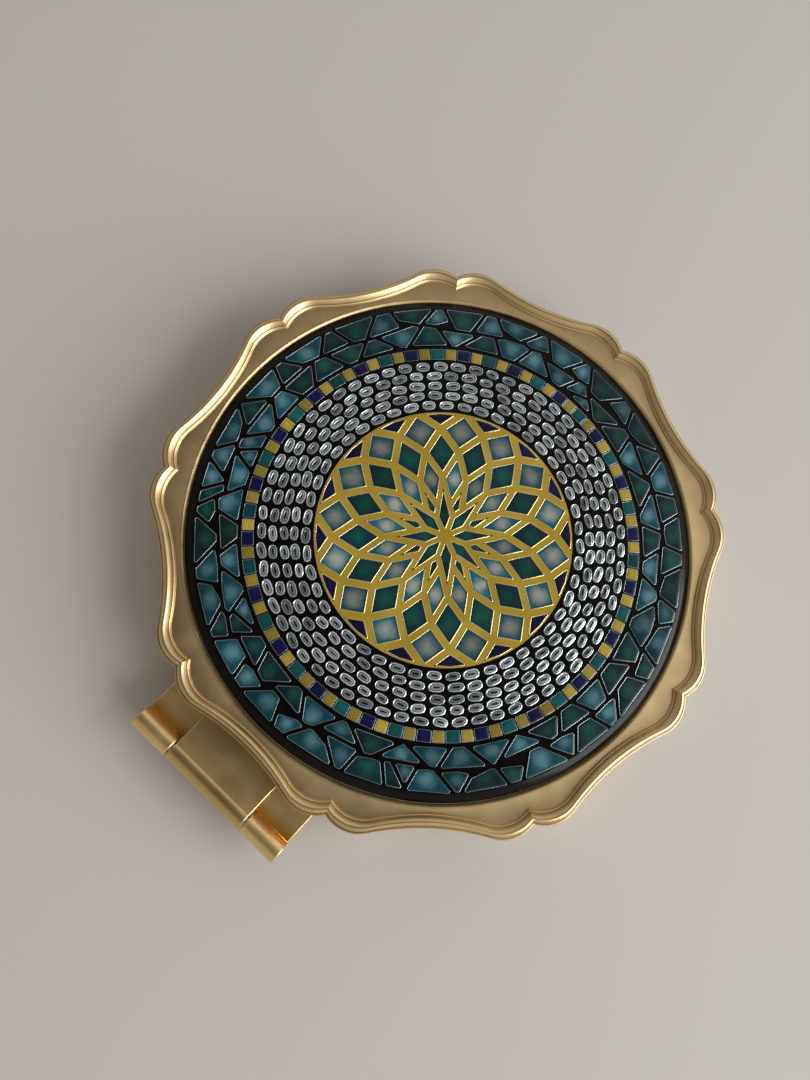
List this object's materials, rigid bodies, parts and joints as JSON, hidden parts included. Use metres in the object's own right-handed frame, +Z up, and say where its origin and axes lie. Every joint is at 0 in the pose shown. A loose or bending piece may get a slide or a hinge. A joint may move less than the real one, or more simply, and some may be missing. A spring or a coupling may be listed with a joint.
{
  "type": "compact mirror",
  "caption": "Round scalloped compact mirror in satin gold with a mosaic medallion on its lid, mirrors inside and a barrel hinge that opens flat.",
  "frame": {"origin": "centre of the flat underside of the base, below the middle of the mirrors", "axes": "+Z up through the lid, +Y away from the hinge, the hinge barrel runs along X on the -Y side"},
  "size_m": [0.0798, 0.0859, 0.0094],
  "materials": {
    "satin_gold": "satin champagne gold",
    "hinge_gold": "polished gold plating",
    "pin_steel": "plain turned steel",
    "mirror_glass": "silvered glass",
    "adhesive": "dark foam tape",
    "magnet_nickel": "nickel plated",
    "black_gloss": "deep gloss black",
    "pale_blue_glass": "glossy, paler in the middle",
    "deep_green_glass": "glossy, dark at the edges",
    "gold_glass": "glossy mustard gold",
    "teal_glass": "glossy teal",
    "navy_glass": "glossy navy",
    "silver_glass": "silver lined",
    "lattice_gold": "flat mustard gold with bright edges"
  },
  "bodies": {
    "base": {"base_frame": "satin_gold", "base_hinge_leaf": "hinge_gold", "hinge_pin": "pin_steel", "base_mirror": "mirror_glass", "base_mirror_pad": "adhesive", "base_magnets": "magnet_nickel"},
    "lid": {"lid_frame": "satin_gold", "lid_hinge_leaf": "hinge_gold", "lid_mirror": "mirror_glass", "lid_mirror_pad": "adhesive", "lid_magnets": "magnet_nickel", "medallion_plate": "black_gloss", "medallion_glue": "adhesive", "shard_tiles_blue": "pale_blue_glass", "shard_tiles_green": "deep_green_glass", "band_tiles_gold": "gold_glass", "band_tiles_teal": "teal_glass", "band_tiles_navy": "navy_glass", "silver_beads": "silver_glass", "rosette_lattice": "lattice_gold", "rosette_tiles_blue": "pale_blue_glass", "rosette_tiles_green": "deep_green_glass", "rosette_border_tiles": "navy_glass"}
  },
  "joints": [
    {"name": "lid_hinge", "type": "hinge", "parent": "base", "child": "lid", "pos_m": [0, -0.04445, 0.0047], "axis": [1, 0, 0], "range_deg": [0, 180]}
  ]
}
